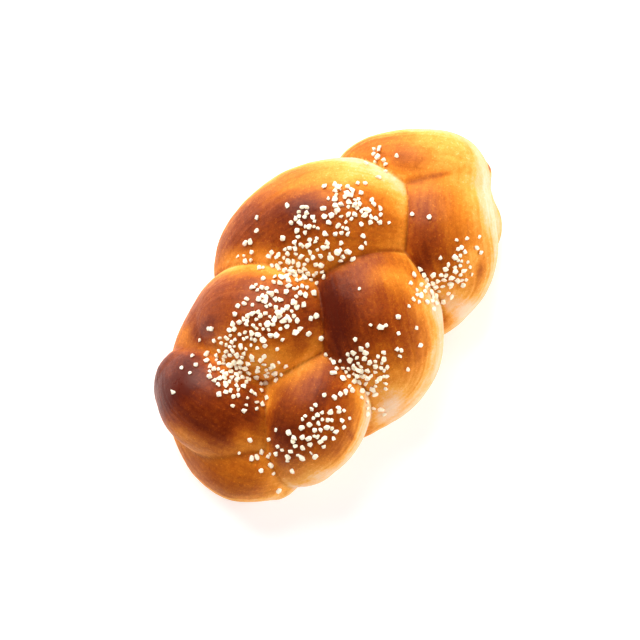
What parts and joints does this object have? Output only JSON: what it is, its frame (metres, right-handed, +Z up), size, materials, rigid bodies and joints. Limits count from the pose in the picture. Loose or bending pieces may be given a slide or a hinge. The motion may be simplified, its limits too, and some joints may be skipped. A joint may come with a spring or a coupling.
{
  "type": "brioche bun",
  "caption": "Small plaited loaf of egg-washed sweet bread with pearl sugar on top, flat underneath.",
  "frame": {"origin": "on the flat underside, below the middle of the bounding box", "axes": "+X along the plait towards its tapered, paler end, +Y to the left when looking along +X, +Z up"},
  "size_m": [0.1638, 0.098, 0.0504],
  "materials": {
    "crust": "egg-washed bread crust, deep brown on the crests, golden in the creases and pale on the lower flanks"
  },
  "bodies": {
    "root": {"bun": "crust"}
  },
  "joints": []
}
